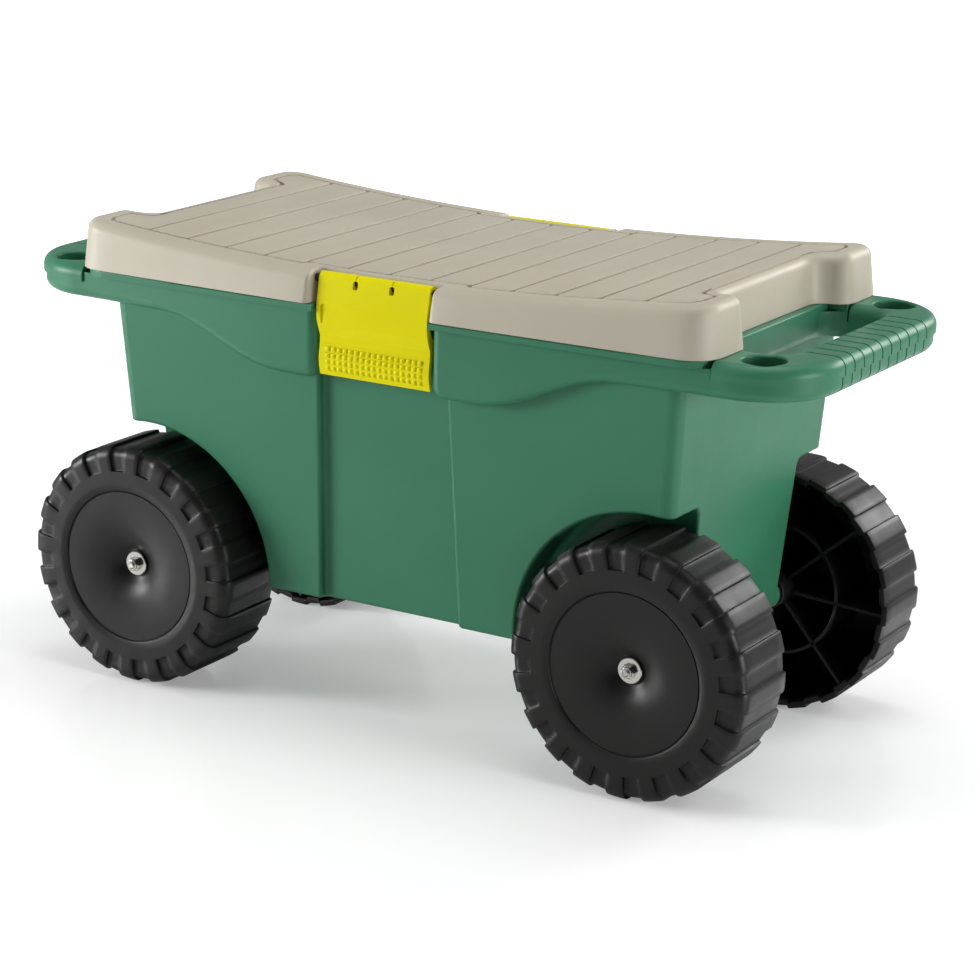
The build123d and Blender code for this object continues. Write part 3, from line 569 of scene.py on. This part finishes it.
def wheel_profile():
    """Closed section of a wheel: radius, distance from the cart's middle, share of the lug relief."""
    points = [(0.0046, HUB_FACE, 0), (0.0085, HUB_FACE, 0), (HUB_R, HUB_FACE + 0.0003, 0)]
    for step in range(1, DISH_STEPS + 1):
        t = step / DISH_STEPS
        rise = DISH_RISE * (1 - math.exp(-DISH_STEEPNESS * t))
        points.append((HUB_R + t * (DISH_R - HUB_R), HUB_FACE + 0.0003 + rise, 0))
    points += [(radius, TREAD_OUT + out, 0) for radius, out in SIDEWALL]
    points += [(POCKET_R + out, TREAD_OUT, share) for out, share in POCKET_EDGE]
    for step in range(SHOULDER_STEPS + 1):
        angle = math.pi / 2 * step / SHOULDER_STEPS
        radius = WHEEL_R - SHOULDER + SHOULDER * math.sin(angle)
        points.append((radius, TREAD_OUT - SHOULDER + SHOULDER * math.cos(angle), 1))
    tread_start = TREAD_OUT - SHOULDER
    tread_end = RIM_IN + TREAD_EDGE[0][1]
    points += [(WHEEL_R, tread_start + t * (tread_end - tread_start), 1) for t in (0.2, 0.4, 0.6, 0.8)]
    points += [(WHEEL_R - depth, RIM_IN + out, 1) for depth, out in TREAD_EDGE]
    return points + WHEEL_BACK


def lug_angles():
    """Angles round the wheel with their share of the groove's depth, closer together at lug edges."""
    rise = [(-0.45, 0), (-0.12, 0.12), (0.12, 0.88), (0.5, 1)]
    steps = [(-LUG_HALF + angle, share) for angle, share in rise]
    steps += [(-LUG_HALF / 3, 1), (LUG_HALF / 3, 1)]
    steps += [(LUG_HALF - angle, share) for angle, share in reversed(rise)]
    steps += [(6.8, 0), (11.2, 0)]
    starts = [LUG_CENTRE + lug * 360 / LUG_COUNT for lug in range(LUG_COUNT)]
    return [(start + angle, share) for start in starts for angle, share in steps]


def relief_direction(profile, index):
    """Unit vector, in (radius, width), pointing into the plastic from a point on the outer skin."""
    radius, width, _ = profile[index]
    if radius <= WHEEL_R - SHOULDER + 1e-6 and width > 0.122:
        return 0.0, -1.0
    if width > TREAD_OUT - SHOULDER and radius > WHEEL_R - SHOULDER:
        back = Vector((radius - (WHEEL_R - SHOULDER), width - (TREAD_OUT - SHOULDER))).normalized()
        return -back.x, -back.y
    return -1.0, 0.0


def wheel_mesh(outward):
    """A wheel about the Y axis. outward is -1 for the front wheels and 1 for the rear ones."""
    bm = bmesh.new()
    profile = wheel_profile()
    columns = []
    for degrees, share in lug_angles():
        angle = math.radians(degrees)
        column = []
        for index, (radius, width, weight) in enumerate(profile):
            inward = relief_direction(profile, index)
            depth = LUG_DEPTH * share * weight
            r, y = radius + inward[0] * depth, width + inward[1] * depth
            column.append(bm.verts.new((r * math.cos(angle), outward * y, r * math.sin(angle))))
        columns.append(column)
    for i, column in enumerate(columns):
        bridge(bm, column, columns[(i + 1) % len(columns)])
    return bm


def add_spokes(bm, outward):
    """Eight thin spokes and a ring behind the sidewall."""
    for index in range(SPOKE_COUNT):
        angle = math.radians(index * 360 / SPOKE_COUNT + SPOKE_START)
        along = Vector((math.cos(angle), 0, math.sin(angle)))
        across = Vector((-math.sin(angle), 0, math.cos(angle))) * SPOKE_HALF_THICKNESS
        sides = []
        for offset in (-across, across):
            sides.append(ring(bm, [along * r + Vector((0, outward * y, 0)) + offset for r, y in SPOKE]))
        bridge(bm, *sides)
        bm.faces.new(sides[0])
        bm.faces.new(reversed(sides[1]))
    columns = []
    for step in range(STIFFENER_STEPS):
        angle = 2 * math.pi * step / STIFFENER_STEPS
        points = [(r * math.cos(angle), outward * y, r * math.sin(angle)) for r, y in STIFFENER]
        columns.append(ring(bm, points))
    for i, column in enumerate(columns):
        bridge(bm, column, columns[(i + 1) % len(columns)])


def make_wheels():
    """The four wheels, each turning about its own axle."""
    for end, outward in (("front", -1), ("rear", 1)):
        for side, sign in (("left", -1), ("right", 1)):
            node = f"wheel_{end}_{side}"
            bm = wheel_mesh(outward)
            add_spokes(bm, outward)
            bmesh.ops.translate(bm, vec=(sign * WHEEL_X, 0, WHEEL_Z), verts=bm.verts)
            finish_piece(bm, f"moulded_{node}", BLACK, node, 38, [node])


# ---------------------------------------------------------------- latch grips
STUD_COLUMNS = 17
STUD_ROWS = 4
STUD_PITCH_X = 0.00415
STUD_PITCH_Z = 0.0039
STUD_LOW_Z = 0.2292
STUD_BASE = 0.0017
STUD_TOP = 0.0008
STUD_HEIGHT = 0.0007
STUD_ROOT = 0.0006
STUD_EDGE = 0.00018
GRIP_OUT = 0.1127
GRIP_MIDDLE_Z = 0.2355
GRIP_CURVE = 14.2


def grip_depth(z):
    """How far the bulging grip of a latch lies from the cart's middle plane."""
    return GRIP_OUT - GRIP_CURVE * (z - GRIP_MIDDLE_Z) ** 2


def make_grips():
    """Rows of small blunt pyramids on the grip of each latch."""
    for body, side in (("front_latch", -1), ("rear_latch", 1)):
        bm = bmesh.new()
        for column in range(STUD_COLUMNS):
            x = (column - (STUD_COLUMNS - 1) / 2) * STUD_PITCH_X
            for row in range(STUD_ROWS):
                z = STUD_LOW_Z + row * STUD_PITCH_Z
                depth = grip_depth(z)
                levels = [(STUD_BASE, -STUD_ROOT), (STUD_BASE, 0), (STUD_TOP, STUD_HEIGHT)]
                rings = []
                for half, out in levels:
                    signs = ((-1, -1), (1, -1), (1, 1), (-1, 1))
                    y = side * (depth + out)
                    rings.append(ring(bm, [(x + i * half, y, z + j * half) for i, j in signs]))
                bridge(bm, rings[0], rings[1])
                bridge(bm, rings[1], rings[2])
                bm.faces.new(rings[2])
                bm.faces.new(reversed(rings[0]))
        bmesh.ops.bevel(bm, geom=bm.edges[:], offset=STUD_EDGE, segments=2, affect="EDGES")
        finish_piece(bm, f"{body}_grip", YELLOW, body, 50)


# ---------------------------------------------------------------- stage, light and camera
VIEW_AZIMUTH = 31.64
VIEW_ELEVATION = 16.291
VIEW_ROLL = 0.868
VIEW_CENTRE = Vector((0, 0, 0.132))
VIEW_SLIDE = (0.01111, -0.00464)
VIEW_DISTANCE = 1.8551
LENS_MM = 106.49
SENSOR_MM = 36
FRAMING_SHIFT = (0.0015, 0.0058)
FLOOR_LIFT = 0.27
FLOOR_LIFT_FAR = 1.1
FLOOR_FADE_FROM = 0.42
FLOOR_FADE_TO = 1.7
WORLD_LIGHT = 0.34
WORLD_SEEN = 1.05
WORLD_DARK = 0.08
DARK_SIDE = (0.54, -0.82, 0.19)


def add_camera():
    """The camera as fitted to the photograph."""
    azimuth, elevation, roll = (math.radians(a) for a in (VIEW_AZIMUTH, VIEW_ELEVATION, VIEW_ROLL))
    level = math.cos(elevation)
    back = Vector((math.sin(azimuth) * level, -math.cos(azimuth) * level, math.sin(elevation)))
    level_right = Vector((math.cos(azimuth), math.sin(azimuth), 0))
    level_up = back.cross(level_right)
    right = math.cos(roll) * level_right + math.sin(roll) * level_up
    up = -math.sin(roll) * level_right + math.cos(roll) * level_up
    data = bpy.data.cameras.new("photo_view")
    data.lens = LENS_MM
    data.sensor_width = SENSOR_MM
    data.shift_x, data.shift_y = FRAMING_SHIFT
    camera = bpy.data.objects.new("photo_view", data)
    bpy.context.scene.collection.objects.link(camera)
    place = VIEW_CENTRE + right * VIEW_SLIDE[0] + up * VIEW_SLIDE[1] + back * VIEW_DISTANCE
    turn = Matrix((right, up, back)).transposed().to_4x4()
    camera.matrix_world = Matrix.Translation(place) @ turn
    bpy.context.scene.camera = camera


def area_light(name, place, target, size, power):
    """A white rectangular lamp that faces its target."""
    data = bpy.data.lights.new(name, "AREA")
    data.shape = "RECTANGLE"
    data.size, data.size_y = size
    data.energy = power
    light = bpy.data.objects.new(name, data)
    light.location = place
    light.rotation_euler = (Vector(target) - Vector(place)).to_track_quat("-Z", "Y").to_euler()
    bpy.context.scene.collection.objects.link(light)


def scaled(tree, first, second):
    """The product of two values."""
    node = tree.nodes.new("ShaderNodeMath")
    node.operation = "MULTIPLY"
    tree.links.new(first, node.inputs[0])
    tree.links.new(second, node.inputs[1])
    return node.outputs["Value"]


def floor_material():
    """Pale, faintly glossy floor, which the camera sees fade into the white background."""
    material = new_material("pale_floor", Base_Color=(0.95, 0.95, 0.95, 1), Roughness=0.14)
    tree = material.node_tree
    shader = tree.nodes["Principled BSDF"]
    shader.inputs["Emission Color"].default_value = (1, 1, 1, 1)
    distance = tree.nodes.new("ShaderNodeVectorMath")
    distance.operation = "LENGTH"
    tree.links.new(tree.nodes.new("ShaderNodeNewGeometry").outputs["Position"], distance.inputs[0])
    away = distance.outputs["Value"]
    lift = span(tree, away, FLOOR_LIFT, FLOOR_LIFT_FAR, FLOOR_FADE_FROM, FLOOR_FADE_TO)
    seen = tree.nodes.new("ShaderNodeLightPath").outputs["Is Camera Ray"]
    tree.links.new(scaled(tree, seen, lift), shader.inputs["Emission Strength"])
    return material


def studio_world():
    """White to the camera. As light it is softer, and dark on the camera's side as in a studio."""
    world = bpy.data.worlds.new("soft_studio")
    world.use_nodes = True
    tree = world.node_tree
    background = tree.nodes["Background"]
    background.inputs["Color"].default_value = (1, 1, 1, 1)
    facing = tree.nodes.new("ShaderNodeVectorMath")
    facing.operation = "DOT_PRODUCT"
    tree.links.new(tree.nodes.new("ShaderNodeTexCoord").outputs["Generated"], facing.inputs[0])
    facing.inputs[1].default_value = DARK_SIDE
    light = span(tree, facing.outputs["Value"], WORLD_LIGHT, WORLD_LIGHT * WORLD_DARK, 0.45, 0.9)
    switch = tree.nodes.new("ShaderNodeMix")
    seen = tree.nodes.new("ShaderNodeLightPath").outputs["Is Camera Ray"]
    tree.links.new(seen, switch.inputs["Factor"])
    tree.links.new(light, switch.inputs["A"])
    switch.inputs["B"].default_value = WORLD_SEEN
    tree.links.new(switch.outputs["Result"], background.inputs["Strength"])
    return world


def add_stage():
    """Pale floor that runs to the horizon, with lamps above, to both sides and behind."""
    bm = bmesh.new()
    bmesh.ops.create_grid(bm, x_segments=2, y_segments=2, size=30)
    mesh = bpy.data.meshes.new("floor")
    bm.to_mesh(mesh)
    bm.free()
    floor = bpy.data.objects.new("floor", mesh)
    bpy.context.scene.collection.objects.link(floor)
    mesh.materials.append(floor_material())
    bpy.context.scene.world = studio_world()
    area_light("overhead", (0.15, 0.1, 2.0), (0, 0, 0.2), (1.5, 1.1), 16)
    area_light("front_left", (-1.45, -0.95, 0.5), (-0.1, 0, 0.2), (0.6, 0.6), 23.5)
    area_light("right_side", (2.1, -0.05, 0.45), (0.1, 0, 0.2), (0.7, 0.5), 18)
    area_light("back_right", (0.9, 1.7, 0.9), (0.2, 0, 0.25), (0.9, 0.6), 16)
    bpy.context.scene.view_settings.view_transform = "Standard"


dress_cad_nodes()
make_lid()
make_lid_ribs()
make_wheels()
make_grips()
add_stage()
add_camera()
